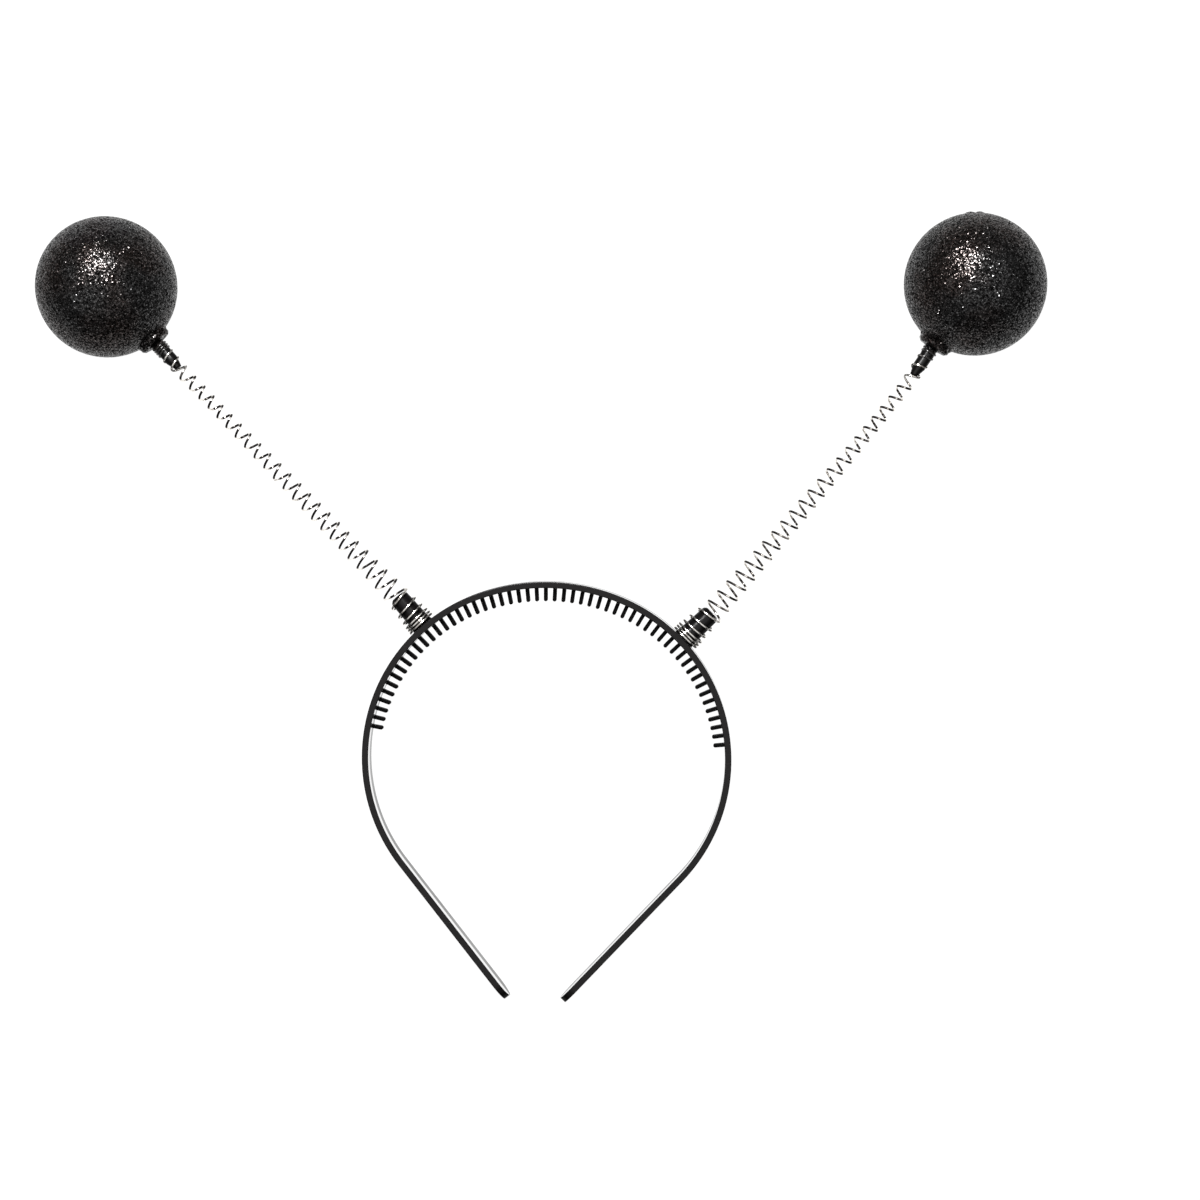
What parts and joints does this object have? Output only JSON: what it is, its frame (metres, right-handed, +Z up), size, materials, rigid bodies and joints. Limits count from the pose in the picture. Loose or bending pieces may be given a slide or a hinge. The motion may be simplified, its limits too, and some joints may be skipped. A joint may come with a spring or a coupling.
{
  "type": "antenna headband",
  "caption": "Black plastic comb headband with a glitter ball on a coil spring at each side, as costume antennae.",
  "frame": {"origin": "middle of the box's underside, on the table that the headband lies on", "axes": "+X to the right along the line through both balls, +Y from the band's ends towards the balls, +Z up"},
  "size_m": [0.3274, 0.256, 0.0458],
  "materials": {
    "black_plastic": "satin",
    "spring_wire": "polished",
    "stem_plastic": "satin",
    "black_glitter": "satin"
  },
  "bodies": {
    "headband": {"headband": "black_plastic", "spring_left": "spring_wire", "spring_right": "spring_wire"},
    "antenna_left": {"stem_left": "stem_plastic", "ball_left": "black_glitter"},
    "antenna_right": {"stem_right": "stem_plastic", "ball_right": "black_glitter"}
  },
  "joints": [
    {"name": "sway_left", "type": "hinge", "parent": "headband", "child": "antenna_left", "pos_m": [-0.07001, 0.02932, 0.01684], "axis": [0, -0.0805, 0.9968], "range_deg": [-25, 25], "stiffness_Nm_per_rad": 0.015, "deforming": ["spring_left"]},
    {"name": "sway_right", "type": "hinge", "parent": "headband", "child": "antenna_right", "pos_m": [0.07833, 0.02405, 0.01642], "axis": [0, -0.0805, 0.9968], "range_deg": [-25, 25], "stiffness_Nm_per_rad": 0.015, "deforming": ["spring_right"]}
  ]
}
